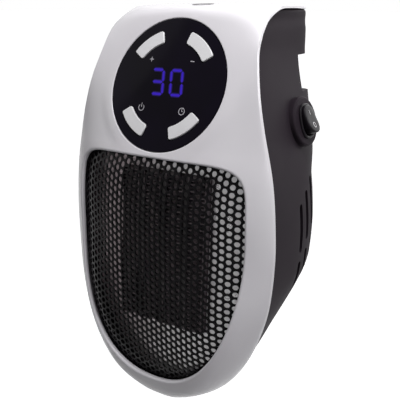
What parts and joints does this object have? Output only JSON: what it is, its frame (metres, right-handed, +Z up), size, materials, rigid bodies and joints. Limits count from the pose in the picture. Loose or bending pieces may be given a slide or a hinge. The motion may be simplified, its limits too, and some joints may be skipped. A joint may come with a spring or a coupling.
{
  "type": "plug-in fan heater",
  "caption": "Plug-in wall fan heater: white front shell on a dark tub, domed hexagonal grille, round touch panel with keys and digits, side rocker switch, turning plug.",
  "frame": {"origin": "centre of the plug's outer face, which meets the wall socket", "axes": "+Y out of the back into the wall, +Z up, +X to the right of someone who looks at the front"},
  "size_m": [0.1044, 0.0934, 0.1738],
  "materials": {
    "white_shell": "glossy",
    "dark_housing": "satin",
    "black_mesh": "gloss enamel",
    "dark_lens": "mirror gloss",
    "white_key": "satin gloss",
    "display": "lit blue digits",
    "circuit_board": "satin",
    "relay_case": "satin",
    "capacitor_case": "satin",
    "bright_sheet": "bright rolled",
    "heat_resin": "matt",
    "black_parts": "satin",
    "steel": "bright",
    "pin_brass": "nickelled",
    "fin_aluminium": "dark, heat stained",
    "heating_ceramic": "matt",
    "lead_sleeve": "matt silicone"
  },
  "bodies": {
    "plug": {"plug_disc": "dark_housing", "plug_pin_left": "pin_brass", "plug_pin_right": "pin_brass", "plug_retainer": "heat_resin"},
    "casing": {"air_duct": "heat_resin", "board_screw_1": "steel", "board_screw_2": "steel", "capacitor": "capacitor_case", "control_board": "circuit_board", "control_panel": "dark_lens", "fan_frame": "heat_resin", "fan_motor": "steel", "fan_screw_1": "steel", "fan_screw_2": "steel", "fan_screw_3": "steel", "fan_screw_4": "steel", "front_shell": "white_shell", "grille": "black_mesh", "heater_bar_1": "heating_ceramic", "heater_bar_2": "heating_ceramic", "heater_bar_3": "heating_ceramic", "heater_end_cap_1": "heat_resin", "heater_end_cap_2": "heat_resin", "heater_fins_1": "fin_aluminium", "heater_fins_2": "fin_aluminium", "heater_fins_3": "fin_aluminium", "heater_fins_4": "fin_aluminium", "heater_lead_left": "lead_sleeve", "heater_lead_right": "lead_sleeve", "heater_terminal_1": "pin_brass", "heater_terminal_2": "pin_brass", "high_screw_1": "steel", "high_screw_2": "steel", "led_display": "display", "low_screw_1": "steel", "low_screw_2": "steel", "mains_lead_direct": "lead_sleeve", "mains_lead_switched": "lead_sleeve", "motor_lead_left": "lead_sleeve", "motor_lead_right": "lead_sleeve", "power_board": "circuit_board", "rear_housing": "dark_housing", "reflector": "bright_sheet", "relay": "relay_case", "switch_body": "black_parts", "switch_lead": "lead_sleeve", "switch_terminal_1": "pin_brass", "switch_terminal_2": "pin_brass", "tact_switch_1": "black_parts", "tact_switch_2": "black_parts", "tact_switch_3": "black_parts", "tact_switch_4": "black_parts", "thermal_cutout": "black_parts"},
    "impeller": {"fan_impeller": "black_parts", "motor_shaft": "steel"},
    "rocker": {"switch_rocker": "black_parts"},
    "warmer_key": {"key_warmer": "white_key"},
    "cooler_key": {"key_cooler": "white_key"},
    "power_key": {"key_power": "white_key"},
    "timer_key": {"key_timer": "white_key"}
  },
  "joints": [
    {"name": "plug_turn", "type": "hinge", "parent": "plug", "child": "casing", "pos_m": [0, 0, 0], "axis": [0, 1, 0], "range_deg": [-135, 135]},
    {"name": "fan_spin", "type": "hinge", "parent": "casing", "child": "impeller", "pos_m": [0, -0.03926, -0.0755], "axis": [0, 0.9974, -0.0715], "continuous": true},
    {"name": "rocker_tilt", "type": "hinge", "parent": "casing", "child": "rocker", "pos_m": [0.0455, -0.0205, -0.0195], "axis": [0, 1, 0], "range_deg": [0, 28]},
    {"name": "warmer_press", "type": "slide", "parent": "casing", "child": "warmer_key", "axis": [0, 0.9265, -0.3762], "range_m": [0, 0.0005], "stiffness_N_per_m": 1500, "springref_m": -0.0001},
    {"name": "cooler_press", "type": "slide", "parent": "casing", "child": "cooler_key", "axis": [0, 0.9265, -0.3762], "range_m": [0, 0.0005], "stiffness_N_per_m": 1500, "springref_m": -0.0001},
    {"name": "power_press", "type": "slide", "parent": "casing", "child": "power_key", "axis": [0, 0.9265, -0.3762], "range_m": [0, 0.0005], "stiffness_N_per_m": 1500, "springref_m": -0.0001},
    {"name": "timer_press", "type": "slide", "parent": "casing", "child": "timer_key", "axis": [0, 0.9265, -0.3762], "range_m": [0, 0.0005], "stiffness_N_per_m": 1500, "springref_m": -0.0001}
  ]
}
